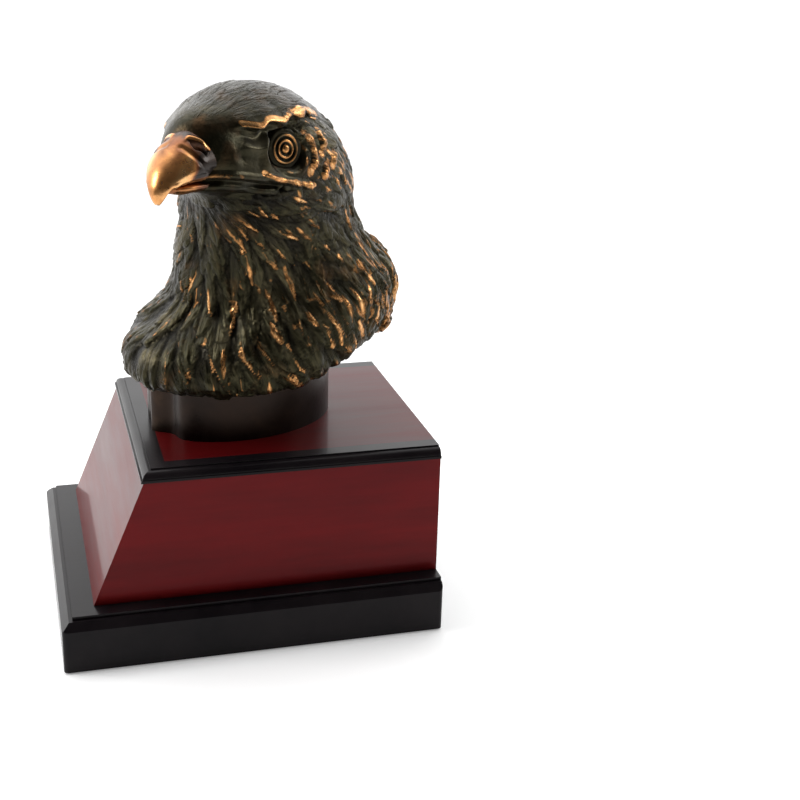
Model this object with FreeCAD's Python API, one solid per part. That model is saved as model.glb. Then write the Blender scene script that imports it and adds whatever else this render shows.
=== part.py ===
import FreeCAD, Part
import math
import os

# Eagle-head bookend: a hollow bronze casting on a lacquered wooden box with a plinth.
# Millimetres, +Z up.  The origin is the centre of the underside.  The flat book side
# faces +X, the sloping side faces -X and the front faces -Y.

# Plinth
plinth_length = 127.0
plinth_depth = 112.0
plinth_top = 18.6
plinth_edge_height = 15.0
plinth_chamfer = 2.4
plinth_quirk = 1.2
plinth_corner_radius = 1.6
felt_thickness = 1.5
felt_proud = 0.5
felt_inset = 4.0
felt_corner_radius = 5.0
felt_clearance = 0.2

# Box on the plinth
wall = 9.0
box_height = 41.9
front_inset = 9.5
slope_inset = 10.8
slope_run = 17.5
top_plug = 5.3
top_clearance = 0.2

# Moulding round the box's top
moulding_overhang = 0.9
moulding_width = 8.4
moulding_height = 3.7
moulding_fillet_height = 0.8
moulding_ledge = 0.5
moulding_radius = 2.4
moulding_step = 0.5

# Ballast and glue blocks inside the box
ballast_width = 46.0
ballast_height = 18.0
ballast_chamfer = 1.0
ballast_gap = 0.5
ballast_screw_spacing = 34.0
block_size = 18.0
block_height = 24.0
block_screw_inset = 10.0

# Screws
wood_screw_radius = 2.1
wood_screw_bite = 14.0
ballast_screw_radius = 2.5
ballast_screw_bite = 10.0
flat_head_radius = 4.4
flat_head_height = 2.4
bolt_radius = 2.5
bolt_head_radius = 4.6
bolt_head_height = 3.4
bolt_share = 0.4142
bolt_bite = 11.0
bolt_hole_extra = 2.0
washer_radius = 6.5
washer_thickness = 1.2
hole_clearance = 0.25
thread_clearance = 0.02
bore_extra = 1.0
screw_tip_share = 0.3
recess_width = 1.1
recess_length = 4.6
recess_depth = 1.5

# Foot collar under the eagle
foot_centre = (3.0, 0.0)
foot_turn = 20.0
foot_half_length = 33.8
foot_half_width = 26.0
foot_valley_angle = 164.0
foot_valley_spread = 11.0
foot_valley_depth = 0.10
foot_height = 17.6
foot_wall = 5.0
foot_floor = 5.0
foot_edge = 1.2
foot_points = 60

# Eagle casting
core_step = 2.2
core_height = 20.0
core_shift = 8.0
casting_wall = 5.5
cavity_height = 62.0
cavity_waist = 0.62
rib_thickness = 6.0
rib_height = 19.0
boss_radius = 6.5
skirt_gap = 0.2
section_points = 16

# Each row is one section of the eagle from the feather skirt to the beak: the way it
# faces (degrees from -X towards -Y), its front point and its back point (forward, up),
# how far its middle stands to the eagle's left, and half its width.
eagle_sections = [
    (9.0, (30.5, 79.0), (-57.5, 104.0), -3.0, 37.0),
    (11.0, (36.5, 88.0), (-62.5, 115.0), -3.0, 40.5),
    (20.0, (23.0, 107.0), (-59.0, 124.0), -1.0, 38.0),
    (35.0, (19.0, 121.5), (-52.0, 132.5), 5.0, 31.5),
    (45.0, (21.0, 133.5), (-44.0, 141.0), 10.0, 28.5),
    (50.0, (27.0, 143.0), (-35.0, 153.5), 14.0, 26.5),
    (50.0, (36.0, 149.0), (-20.5, 168.0), 15.0, 25.0),
    (50.0, (43.0, 151.5), (0.0, 180.0), 15.0, 22.5),
    (50.0, (48.0, 152.5), (22.0, 179.0), 14.0, 18.5),
    (50.0, (51.5, 153.0), (37.0, 172.5), 14.0, 11.0),
    (50.0, (55.5, 152.0), (50.5, 164.0), 14.0, 6.5),
    (50.0, (57.8, 148.5), (59.4, 154.0), 14.0, 3.0),
]

# Worked out from the driving dimensions
book_x = plinth_length / 2
front_y = front_inset - plinth_depth / 2
box_top = plinth_top + box_height
top_z = box_top + moulding_height
pocket_floor = felt_thickness
slope_rate = slope_run / box_height
slope_wall = wall * math.hypot(1.0, slope_rate)
foot_top = top_z + foot_height
panel_under = box_top - top_plug
lift = FreeCAD.Vector(0, 0, 1)
small = 1e-6


def solid_from(points, height):
    """A prism that stands on the polygon points."""
    corners = [FreeCAD.Vector(*point) for point in points]
    face = Part.Face(Part.makePolygon(corners + corners[:1]))
    return face.extrude(lift * height)


def block(low, high):
    size = [high[i] - low[i] for i in range(3)]
    return Part.makeBox(size[0], size[1], size[2], FreeCAD.Vector(*low))


def cylinder(radius, low, high, x, y):
    return Part.makeCylinder(radius, high - low, FreeCAD.Vector(x, y, low))


def rounded_slab(inset, radius, low, high):
    """A slab inside the plinth's outline, with its four upright corners rounded."""
    half_length = plinth_length / 2 - inset
    half_depth = plinth_depth / 2 - inset
    slab = block((-half_length, -half_depth, low), (half_length, half_depth, high))
    upright = [edge for edge in slab.Edges if abs(edge.tangentAt(0).z) > 1.0 - small]
    return slab.makeFillet(radius, upright)


def slope_x(z):
    """The outside of the sloping wall at height z."""
    return slope_inset - plinth_length / 2 + (z - plinth_top) * slope_rate


def wall_corners(z, inwards):
    """The box's four corners at height z, outside or inside the walls."""
    slope = slope_x(z) + (slope_wall if inwards else 0)
    book = book_x - (wall if inwards else 0)
    front = front_y + (wall if inwards else 0)
    return [(slope, front, z), (book, front, z), (book, -front, z), (slope, -front, z)]


def ruled_solid(lower, upper):
    wires = []
    for ring in (lower, upper):
        corners = [FreeCAD.Vector(*point) for point in ring]
        wires.append(Part.makePolygon(corners + corners[:1]))
    return Part.makeLoft(wires, True, True)


def wall_panel(first):
    """The wall between two corners of the box, mitred to its neighbours."""
    rings = []
    for z in (plinth_top, box_top):
        outside = wall_corners(z, False)
        inside = wall_corners(z, True)
        second = (first + 1) % 4
        rings.append([outside[first], outside[second], inside[second], inside[first]])
    return ruled_solid(rings[0], rings[1])


def box_inside(low, high):
    return ruled_solid(wall_corners(low, True), wall_corners(high, True))


def flat_head_screw(radius, head_z, tip_z, x, y):
    """A countersunk screw driven upwards, with a cross recess in its head."""
    head_top = head_z + flat_head_height
    head = Part.makeCone(flat_head_radius, radius, flat_head_height, FreeCAD.Vector(x, y, head_z))
    tip = Part.makeCone(radius, radius * screw_tip_share, radius, FreeCAD.Vector(x, y, tip_z - radius))
    screw = head.fuse([cylinder(radius, head_top, tip_z - radius, x, y), tip])
    return screw.removeSplitter().cut(cross_recess(head_z, x, y))


def cross_recess(z, x, y):
    half = recess_length / 2
    thin = recess_width / 2
    first = block((x - half, y - thin, z), (x + half, y + thin, z + recess_depth))
    second = block((x - thin, y - half, z), (x + thin, y + half, z + recess_depth))
    return first.fuse(second)


def countersunk_hole(radius, low, high, x, y):
    """Room for a flat-head screw that enters from below."""
    gap = hole_clearance
    sink = Part.makeCone(flat_head_radius + gap, radius + gap, flat_head_height,
                         FreeCAD.Vector(x, y, low))
    return sink.fuse(cylinder(radius + gap, low, high, x, y))


def corner_screw_places():
    corners = wall_corners(plinth_top, True)
    places = []
    for x, y, z in corners:
        places.append((x - math.copysign(block_screw_inset, x),
                       y - math.copysign(block_screw_inset, y)))
    return places


def ballast_ends():
    """The ballast fills the length between the corner blocks."""
    corners = wall_corners(plinth_top, True)
    room = block_size + ballast_gap
    return corners[0][0] + room, corners[1][0] - room


def ballast_screw_places():
    low_x, high_x = ballast_ends()
    middle = (low_x + high_x) / 2
    half = ballast_screw_spacing / 2
    return [(middle - half, 0.0), (middle + half, 0.0)]


def bolt_places():
    half = foot_half_length * bolt_share
    return [(foot_centre[0] - half, foot_centre[1]), (foot_centre[0] + half, foot_centre[1])]


def plinth_board():
    """A board with a chamfer and a small quirk round three edges, flat on the book side."""
    full = rounded_slab(0.0, plinth_corner_radius, felt_proud, plinth_edge_height)
    half_depth = plinth_depth / 2
    rings = []
    for inset in (0.0, plinth_chamfer):
        z = plinth_edge_height + inset
        left = inset - plinth_length / 2
        front = inset - half_depth
        rings.append([(left, front, z), (book_x, front, z), (book_x, -front, z), (left, -front, z)])
    bevel = ruled_solid(rings[0], rings[1])
    ledge_inset = plinth_chamfer + plinth_quirk
    ledge_low = plinth_edge_height + plinth_chamfer
    ledge = block((ledge_inset - plinth_length / 2, ledge_inset - half_depth, ledge_low),
                  (book_x, half_depth - ledge_inset, plinth_top))
    trim = rounded_slab(0.0, plinth_corner_radius, felt_proud, plinth_top)
    board = full.fuse([bevel, ledge]).removeSplitter().common(trim)
    pocket_inset = felt_inset - felt_clearance
    board = board.cut(rounded_slab(pocket_inset, felt_corner_radius, felt_proud, pocket_floor))
    for x, y in corner_screw_places():
        board = board.cut(countersunk_hole(wood_screw_radius, pocket_floor, plinth_top, x, y))
    for x, y in ballast_screw_places():
        board = board.cut(countersunk_hole(ballast_screw_radius, pocket_floor, plinth_top, x, y))
    return board


def felt_pad():
    return rounded_slab(felt_inset, felt_corner_radius, 0.0, felt_thickness)


def moulding_outline():
    """The moulding's section: (distance in from its outer edge, height), bottom first."""
    low = FreeCAD.Vector(0, 0, 0)
    fillet_top = FreeCAD.Vector(0, 0, moulding_fillet_height)
    ledge = FreeCAD.Vector(moulding_ledge, 0, moulding_fillet_height)
    centre_u = moulding_ledge + moulding_radius
    bend = moulding_radius * math.sqrt(0.5)
    middle = FreeCAD.Vector(centre_u - bend, 0, moulding_fillet_height + bend)
    crown = FreeCAD.Vector(centre_u, 0, moulding_fillet_height + moulding_radius)
    step_foot = crown + FreeCAD.Vector(moulding_step, 0, 0)
    step_top = FreeCAD.Vector(step_foot.x, 0, moulding_height)
    inner_top = FreeCAD.Vector(moulding_width, 0, moulding_height)
    inner_low = FreeCAD.Vector(moulding_width, 0, 0)
    edges = [Part.makeLine(low, fillet_top), Part.makeLine(fillet_top, ledge)]
    edges.append(Part.Arc(ledge, middle, crown).toShape())
    run = [crown, step_foot, step_top, inner_top, inner_low, low]
    edges += [Part.makeLine(run[i], run[i + 1]) for i in range(len(run) - 1)]
    return Part.Face(Part.Wire(edges))


def moulding_frame():
    """The outer and inner edges of the moulding in plan."""
    left = slope_x(box_top) - moulding_overhang
    front = front_y - moulding_overhang
    return left, front


def front_moulding():
    left, front = moulding_frame()
    face = moulding_outline()
    face.rotate(FreeCAD.Vector(), lift, 90)
    face.translate(FreeCAD.Vector(left, front, box_top))
    strip = face.extrude(FreeCAD.Vector(book_x - left, 0, 0))
    inner = moulding_width
    region = solid_from([(left, front, box_top), (book_x, front, box_top),
                         (book_x, front + inner, box_top), (left + inner, front + inner, box_top)],
                        moulding_height)
    return strip.common(region)


def rear_moulding():
    return front_moulding().mirror(FreeCAD.Vector(), FreeCAD.Vector(0, 1, 0))


def slope_moulding():
    left, front = moulding_frame()
    face = moulding_outline()
    face.translate(FreeCAD.Vector(left, front, box_top))
    strip = face.extrude(FreeCAD.Vector(0, -2 * front, 0))
    inner = moulding_width
    region = solid_from([(left, front, box_top), (left + inner, front + inner, box_top),
                         (left + inner, -front - inner, box_top), (left, -front, box_top)],
                        moulding_height)
    return strip.common(region)


def top_panel():
    """A board that drops between the walls, with a lip that meets the moulding."""
    left, front = moulding_frame()
    inner = moulding_width
    lip = block((left + inner, front + inner, box_top), (book_x, -front - inner, top_z))
    plug = box_inside(panel_under, box_top)
    gap = top_clearance
    corners = wall_corners(box_top, True)
    trim = block((corners[0][0] + gap, corners[0][1] + gap, panel_under),
                 (corners[2][0] - gap, corners[2][1] - gap, box_top))
    panel = lip.fuse(plug.common(trim)).removeSplitter()
    for x, y in bolt_places():
        panel = panel.cut(cylinder(bolt_radius + hole_clearance, panel_under, top_z, x, y))
    return panel


def corner_blocks():
    inside = box_inside(plinth_top, plinth_top + block_height)
    blocks = []
    for x, y, z in wall_corners(plinth_top, True):
        far_x = x - math.copysign(block_size, x)
        far_y = y - math.copysign(block_size, y)
        cube = block((min(x, far_x), min(y, far_y), z), (max(x, far_x), max(y, far_y), z + block_height))
        blocks.append(cube.common(inside))
    shape = Part.makeCompound(blocks)
    for x, y in corner_screw_places():
        shape = shape.cut(screw_bore(wood_screw_radius, wood_screw_bite, x, y))
    return shape


def screw_bore(radius, bite, x, y):
    """The hole that a screw from below has cut above the plinth."""
    return cylinder(radius + thread_clearance, plinth_top, plinth_top + bite + bore_extra, x, y)


def plinth_screws():
    tip_z = plinth_top + wood_screw_bite
    screws = [flat_head_screw(wood_screw_radius, pocket_floor, tip_z, x, y)
              for x, y in corner_screw_places()]
    return Part.makeCompound(screws)


def ballast_block():
    low_x, high_x = ballast_ends()
    half_width = ballast_width / 2
    top = plinth_top + ballast_height
    shape = block((low_x, -half_width, plinth_top), (high_x, half_width, top))
    rim = [edge for edge in shape.Edges if edge.BoundBox.ZMin > top - small]
    shape = shape.makeChamfer(ballast_chamfer, rim)
    for x, y in ballast_screw_places():
        shape = shape.cut(screw_bore(ballast_screw_radius, ballast_screw_bite, x, y))
    return shape


def ballast_screws():
    tip_z = plinth_top + ballast_screw_bite
    screws = [flat_head_screw(ballast_screw_radius, pocket_floor, tip_z, x, y)
              for x, y in ballast_screw_places()]
    return Part.makeCompound(screws)


def mounting_washers():
    washers = []
    for x, y in bolt_places():
        low = panel_under - washer_thickness
        ring = cylinder(washer_radius, low, panel_under, x, y)
        washers.append(ring.cut(cylinder(bolt_radius + hole_clearance, low, panel_under, x, y)))
    return Part.makeCompound(washers)


def mounting_screws():
    """Pan-head screws that pull the eagle down onto the box from inside it."""
    bolts = []
    for x, y in bolt_places():
        seat = panel_under - washer_thickness
        head = cylinder(bolt_head_radius, seat - bolt_head_height, seat, x, y)
        rim = [edge for edge in head.Edges if edge.BoundBox.ZMax < seat - bolt_head_height / 2]
        head = head.makeFillet(bolt_head_height / 3, rim)
        shank = cylinder(bolt_radius, seat, top_z + foot_floor + bolt_bite, x, y)
        bolts.append(head.fuse(shank).cut(cross_recess(seat - bolt_head_height, x, y)))
    return Part.makeCompound(bolts)


def foot_ring(z, inwards, growth=1.0, shift=0.0):
    """The foot's lobed outline at height z, as one closed curve."""
    points = []
    long_way = math.radians(foot_turn)
    for i in range(foot_points):
        angle = 360.0 * i / foot_points - 180.0
        turn = math.radians(angle)
        valley = (abs(angle) - foot_valley_angle) / foot_valley_spread
        pinch = 1.0 - foot_valley_depth * math.exp(-valley * valley)
        length = (foot_half_length - inwards) * growth * pinch
        width = (foot_half_width - inwards) * growth * pinch
        along = length * math.cos(turn)
        across = width * math.sin(turn)
        x = foot_centre[0] + shift + along * math.cos(long_way) - across * math.sin(long_way)
        y = foot_centre[1] + along * math.sin(long_way) + across * math.cos(long_way)
        points.append(FreeCAD.Vector(x, y, z))
    curve = Part.BSplineCurve()
    curve.interpolate(Points=points, PeriodicFlag=True)
    return Part.Wire([curve.toShape()])


def foot_collar():
    outer = Part.Face(foot_ring(top_z, 0.0)).extrude(lift * foot_height)
    rim = [edge for edge in outer.Edges if edge.BoundBox.ZMin > foot_top - small]
    outer = outer.makeFillet(foot_edge, rim)
    inner_low = top_z + foot_floor
    hollow = Part.Face(foot_ring(inner_low, foot_wall)).extrude(lift * (foot_height - foot_floor))
    shape = outer.cut(hollow)
    for x, y in bolt_places():
        shape = shape.cut(cylinder(bolt_radius + hole_clearance, top_z, inner_low, x, y))
    return shape


def eagle_ring(facing, front, back, centre, half_width):
    """One closed section of the eagle, square to its spine."""
    turn = math.radians(facing)
    forward = FreeCAD.Vector(-math.cos(turn), -math.sin(turn), 0)
    left = FreeCAD.Vector(math.sin(turn), -math.cos(turn), 0)
    low = forward * front[0] + lift * front[1]
    high = forward * back[0] + lift * back[1]
    middle = (low + high) * 0.5 + left * centre
    reach = (low - high) * 0.5
    points = []
    for i in range(section_points):
        angle = 2 * math.pi * i / section_points
        points.append(middle + reach * math.cos(angle) + left * (half_width * math.sin(angle)))
    curve = Part.BSplineCurve()
    curve.interpolate(Points=points, PeriodicFlag=True)
    return Part.Wire([curve.toShape()])


def halfway(before, first, second, after):
    """The value midway between two neighbours on a smooth curve through all four."""
    return (9 * (first + second) - before - after) / 16


def eagle_rings():
    """The eagle's sections, with a smoothly blended one between each two."""
    rows = [[facing, *front, *back, centre, half_width]
            for facing, front, back, centre, half_width in eagle_sections]
    last = len(rows) - 1
    blended = [rows[0]]
    for i in range(last):
        around = (rows[max(0, i - 1)], rows[i], rows[i + 1], rows[min(last, i + 2)])
        blended.append([halfway(*values) for values in zip(*around)])
        blended.append(rows[i + 1])
    return [eagle_ring(row[0], row[1:3], row[3:5], row[5], row[6]) for row in blended]


def eagle_core():
    """The smooth pillar under the feather skirt, a step in from the foot collar."""
    low = foot_ring(foot_top, core_step)
    high = foot_ring(foot_top + core_height, core_step, shift=core_shift)
    return Part.makeLoft([low, high], True, True)


def eagle_cavity():
    """The hollow that the casting core leaves, open at the foot."""
    inset = core_step + casting_wall
    rings = [foot_ring(foot_top, inset)]
    rings.append(foot_ring(foot_top + core_height, inset, shift=core_shift))
    rings.append(foot_ring(foot_top + cavity_height, inset, cavity_waist, core_shift))
    return Part.makeLoft(rings, True, False)


def eagle_casting():
    plumage = Part.makeLoft(eagle_rings(), True, False)
    foot_room = Part.Face(foot_ring(top_z, -skirt_gap)).extrude(lift * foot_height)
    outside = plumage.cut(foot_room).fuse(eagle_core())
    shape = outside.cut(eagle_cavity())
    x, y = foot_centre
    half_length = foot_half_length
    rib = block((x - half_length, y - rib_thickness / 2, foot_top),
                (x + half_length, y + rib_thickness / 2, foot_top + rib_height))
    shape = shape.fuse(rib.common(eagle_core()))
    boss_low = top_z + foot_floor
    for bx, by in bolt_places():
        shape = shape.fuse(cylinder(boss_radius, boss_low, foot_top + rib_height, bx, by))
    for bx, by in bolt_places():
        hole_top = boss_low + bolt_bite + bolt_hole_extra
        shape = shape.cut(cylinder(bolt_radius + thread_clearance, boss_low, hole_top, bx, by))
    return shape


pieces = {
    "felt_pad": felt_pad,
    "plinth_board": plinth_board,
    "plinth_screws": plinth_screws,
    "corner_blocks": corner_blocks,
    "ballast_block": ballast_block,
    "ballast_screws": ballast_screws,
    "front_panel": lambda: wall_panel(0),
    "book_side_panel": lambda: wall_panel(1),
    "rear_panel": lambda: wall_panel(2),
    "slope_panel": lambda: wall_panel(3),
    "top_panel": top_panel,
    "front_moulding": front_moulding,
    "slope_moulding": slope_moulding,
    "rear_moulding": rear_moulding,
    "mounting_washers": mounting_washers,
    "mounting_screws": mounting_screws,
    "foot_collar": foot_collar,
    "eagle_casting": eagle_casting,
}

os.makedirs("parts", exist_ok=True)
for node, make in pieces.items():
    shape = make()
    shape.exportStep("parts/" + node + ".step")
    print(node, "solids", len(shape.Solids), "volume", round(shape.Volume), "valid", shape.isValid())
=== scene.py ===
import math

import bpy
import numpy as np
from mathutils import Matrix, Vector


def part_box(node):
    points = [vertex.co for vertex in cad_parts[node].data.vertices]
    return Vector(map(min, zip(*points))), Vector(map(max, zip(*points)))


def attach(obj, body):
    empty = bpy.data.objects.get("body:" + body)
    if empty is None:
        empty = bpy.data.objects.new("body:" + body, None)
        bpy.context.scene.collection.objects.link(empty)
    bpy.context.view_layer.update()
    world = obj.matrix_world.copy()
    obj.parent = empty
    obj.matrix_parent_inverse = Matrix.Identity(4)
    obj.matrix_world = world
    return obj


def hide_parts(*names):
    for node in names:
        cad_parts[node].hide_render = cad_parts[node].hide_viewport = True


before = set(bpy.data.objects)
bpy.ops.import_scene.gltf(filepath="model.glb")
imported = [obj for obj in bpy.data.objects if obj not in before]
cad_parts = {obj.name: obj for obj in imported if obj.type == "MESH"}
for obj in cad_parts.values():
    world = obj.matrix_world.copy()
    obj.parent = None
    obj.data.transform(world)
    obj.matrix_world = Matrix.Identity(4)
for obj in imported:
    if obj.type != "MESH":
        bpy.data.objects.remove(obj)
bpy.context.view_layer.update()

mm = 0.001
rng = np.random.default_rng(11)
upward = np.array([0.0, 0.0, 1.0])


def unit(v):
    return v / np.maximum(np.linalg.norm(v, axis=-1, keepdims=True), 1e-9)


def smoothStep(low, high, x):
    t = np.clip((x - low) / (high - low), 0.0, 1.0)
    return t * t * (3.0 - 2.0 * t)


def throughPoints(points, count):
    # evenly stepped places on a smooth curve through the given points
    p = np.asarray(points, float)
    p = np.vstack([2 * p[0] - p[1], p, 2 * p[-1] - p[-2]])
    t = np.linspace(0, len(points) - 1 - 1e-9, count)
    i = t.astype(int)
    f = (t - i)[:, None]
    a, b, c, d = p[i], p[i + 1], p[i + 2], p[i + 3]
    return 0.5 * (2 * b + (c - a) * f + (2 * a - 5 * b + 4 * c - d) * f ** 2
                  + (3 * b - 3 * c + d - a) * f ** 3)


def meshPiece(name, points, faces, replaced, values):
    # points in millimetres become a smooth-shaded piece on the one body
    mesh = bpy.data.meshes.new(name)
    mesh.from_pydata((np.asarray(points) * mm).tolist(), [], faces)
    mesh.polygons.foreach_set("use_smooth", [True] * len(mesh.polygons))
    for key, numbers in values.items():
        layer = mesh.attributes.new(key, "FLOAT", "POINT")
        layer.data.foreach_set("value", np.asarray(numbers, np.float32))
    mesh.update()
    piece = bpy.data.objects.new(name, mesh)
    bpy.context.scene.collection.objects.link(piece)
    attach(piece, "root")
    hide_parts(replaced)
    return piece


def gridFaces(rows, columns):
    # quads of a tube closed round its columns, with a fan at each end
    faces = []
    for i in range(rows - 1):
        a = i * columns
        for j in range(columns):
            k = (j + 1) % columns
            faces.append((a + j, a + k, a + columns + k, a + columns + j))
    first, last = rows * columns, rows * columns + 1
    top = (rows - 1) * columns
    for j in range(columns):
        k = (j + 1) % columns
        faces.append((first, k, j))
        faces.append((last, top + j, top + k))
    return faces


def tubePiece(name, grid, values):
    rows, columns = grid.shape[:2]
    points = np.vstack([grid.reshape(-1, 3), grid[0].mean(0), grid[-1].mean(0)])
    layers = {}
    for key, numbers in values.items():
        layers[key] = np.concatenate([numbers.ravel(), [numbers[0].mean(), numbers[-1].mean()]])
    faces = gridFaces(rows, columns)
    return meshPiece(name, points, faces, "eagle_casting", layers)


def gridNormals(grid):
    along = np.gradient(grid, axis=0)
    around = np.roll(grid, -1, axis=1) - np.roll(grid, 1, axis=1)
    return unit(np.cross(around, along))


headSide = 14.1           # the head's middle plane stands this far to its left, mm
headTurn = math.radians(50.0)
headForward = np.array([-math.cos(headTurn), -math.sin(headTurn), 0.0])
headLeft = np.array([math.sin(headTurn), -math.cos(headTurn), 0.0])


def headPoint(forward, side, up):
    # a place on the head: forward, to its left of the middle plane, and up, in mm
    forward, side, up = (np.asarray(v, float)[..., None] for v in (forward, side, up))
    return headForward * forward + headLeft * (headSide + side) + upward * up


def headPlace(grid):
    # forward, side and up of each point in the head's own frame
    return grid @ headForward, grid @ headLeft - headSide, grid[..., 2]


# One row per section from the feather skirt up to the face: degrees it faces from -X
# towards -Y, front point forward and up, back point forward and up, how far its middle
# stands to the left, half width, how square it is, how much narrower its front is than
# its back, and how far its left and right sides hang down.
eagleRows = [
    (9, 20.0, 89.0, -44.0, 108.0, -3.0, 28.0, 2.0, 0.0, 4.5, 2.0),
    (9, 28.0, 82.5, -52.0, 104.0, -3.0, 34.0, 2.0, 0.0, 5.0, 2.0),
    (9, 31.5, 81.0, -55.0, 104.0, -3.0, 36.5, 2.0, 0.0, 5.0, 2.0),
    (9, 34.0, 85.0, -57.0, 109.0, -3.0, 38.0, 2.1, 0.0, 4.5, 2.0),
    (10, 32.0, 92.0, -56.8, 115.0, -3.0, 38.0, 2.1, 0.03, 4.0, 1.0),
    (13, 24.0, 99.5, -55.0, 119.0, -2.5, 37.0, 2.1, 0.10, 3.0, 0.0),
    (19, 18.0, 107.0, -50.3, 123.5, -1.5, 34.0, 2.1, 0.16, 2.0, 0.0),
    (28, 16.8, 116.5, -45.6, 129.5, 2.0, 30.5, 2.05, 0.16, 1.0, 0.0),
    (38, 18.5, 127.0, -41.5, 136.5, 6.0, 28.0, 2.0, 0.08, 0.0, 0.0),
    (46, 21.5, 136.0, -37.5, 144.0, 9.8, 26.8, 2.0, 0.06, 0.0, 0.0),
    (50, 26.5, 143.5, -32.0, 153.5, 12.8, 25.4, 2.1, 0.08, 0.0, 0.0),
    (50, 31.5, 148.0, -24.0, 163.0, 14.1, 23.5, 2.2, 0.08, 0.0, 0.0),
    (50, 36.0, 150.5, -16.0, 172.0, 14.1, 21.3, 2.25, 0.05, 0.0, 0.0),
    (50, 40.5, 151.5, -4.0, 178.5, 14.1, 19.3, 2.25, 0.0, 0.0, 0.0),
    (50, 43.5, 152.2, 10.0, 181.4, 14.1, 17.6, 2.2, 0.0, 0.0, 0.0),
    (50, 45.5, 152.8, 22.0, 180.8, 14.1, 15.6, 2.2, 0.0, 0.0, 0.0),
    (50, 47.0, 153.4, 32.0, 178.5, 14.1, 12.8, 2.1, 0.0, 0.0, 0.0),
    (50, 48.6, 154.2, 40.5, 176.0, 14.1, 9.8, 2.1, 0.0, 0.0, 0.0),
    (50, 50.0, 156.0, 45.0, 172.8, 14.1, 6.4, 2.0, 0.0, 0.0, 0.0),
    (50, 50.8, 159.0, 47.6, 168.2, 14.1, 3.0, 2.0, 0.0, 0.0, 0.0),
]


def bodyGrid(first, last, along, around):
    # points of the smooth body between two of its rows, rings from skirt to face
    dense = throughPoints(eagleRows, 40 * len(eagleRows))
    position = np.linspace(0, len(eagleRows) - 1, len(dense))
    wanted = np.linspace(first, last, along)
    rows = np.stack([np.interp(wanted, position, column) for column in dense.T], 1)
    turn = np.radians(rows[:, 0])
    forward = np.stack([-np.cos(turn), -np.sin(turn), 0 * turn], 1)
    left = np.stack([np.sin(turn), -np.cos(turn), 0 * turn], 1)
    front = forward * rows[:, 1:2] + upward * rows[:, 2:3]
    back = forward * rows[:, 3:4] + upward * rows[:, 4:5]
    middle = (front + back) / 2 + left * rows[:, 5:6]
    reach = (front - back) / 2
    angle = np.arange(around) * 2 * math.pi / around
    power = 2.0 / rows[:, 7:8]
    c = np.sign(np.cos(angle)) * np.abs(np.cos(angle)) ** power
    s = np.sign(np.sin(angle)) * np.abs(np.sin(angle)) ** power
    s = s * (1 - rows[:, 8:9] * c)
    hang = np.where(s > 0, rows[:, 9:10], rows[:, 10:11]) * s * s
    return (middle[:, None] + reach[:, None] * c[..., None]
            + left[:, None] * (s * rows[:, 6:7])[..., None] - upward * hang[..., None])


def nearPath(points, path):
    # distance from each point to a path, the offset from it, and the share of the way along
    flat = points.reshape(-1, points.shape[-1])
    best = np.full(len(flat), 1e9)
    offset = np.zeros_like(flat)
    share = np.zeros(len(flat))
    count = len(path) - 1
    for i in range(count):
        a, d = path[i], path[i + 1] - path[i]
        t = np.clip(((flat - a) @ d) / max(d @ d, 1e-9), 0, 1)
        o = flat - (a + t[:, None] * d)
        dist = np.linalg.norm(o, axis=1)
        closer = dist < best
        best[closer] = dist[closer]
        offset[closer] = o[closer]
        share[closer] = (i + t[closer]) / count
    shape = points.shape[:-1]
    return best.reshape(shape), offset.reshape(points.shape), share.reshape(shape)


def besideHead(grid, places, side, lower=0.0):
    # a path drawn on the head's side view, as (forward, up), met from one side only
    forward, across, up = headPlace(grid)
    path = throughPoints(places, 10 * len(places)) - np.array([0.0, lower])
    distance, offset, share = nearPath(np.stack([forward, up], -1), path)
    return distance, offset, share, smoothStep(1.0, 3.0, across * side)


def press(grid, places, side, width, height, ends, above=None, way=None, waves=0, lower=0.0):
    # raises or sinks the surface along a path; ends is the share of the path that fades out
    # at each end, and above is the reach on its upper side
    distance, offset, share, sided = besideHead(grid, places, side, lower)
    reach = np.full(distance.shape, float(width))
    if above is not None:
        reach = np.where(offset[..., 1] > 0, above, width)
    weight = sided * (1.0 - smoothStep(0.0, 1.0, distance / reach))
    weight *= smoothStep(0, ends, share + 1e-6) * smoothStep(0, ends, 1 - share + 1e-6)
    weight *= 1.0 + 0.3 * np.sin(2 * math.pi * waves * share)
    direction = gridNormals(grid) if way is None else np.asarray(way, float)
    return grid + direction * (height * weight)[..., None]


# how one feather is formed, as shares of its length, width or lift
vane = {
    "taper": 0.38,                       # the part of its length that narrows to the tip
    "groove": 0.14, "grooveWidth": 0.08,
    "barb": 0.05, "barbWaves": 3.0,
    "under": 0.6,                        # how much of a covered feather still shows
    "streakWidth": 0.26, "rim": 0.8, "rimWidth": 0.35,      # where polishing rubs it
}


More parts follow.
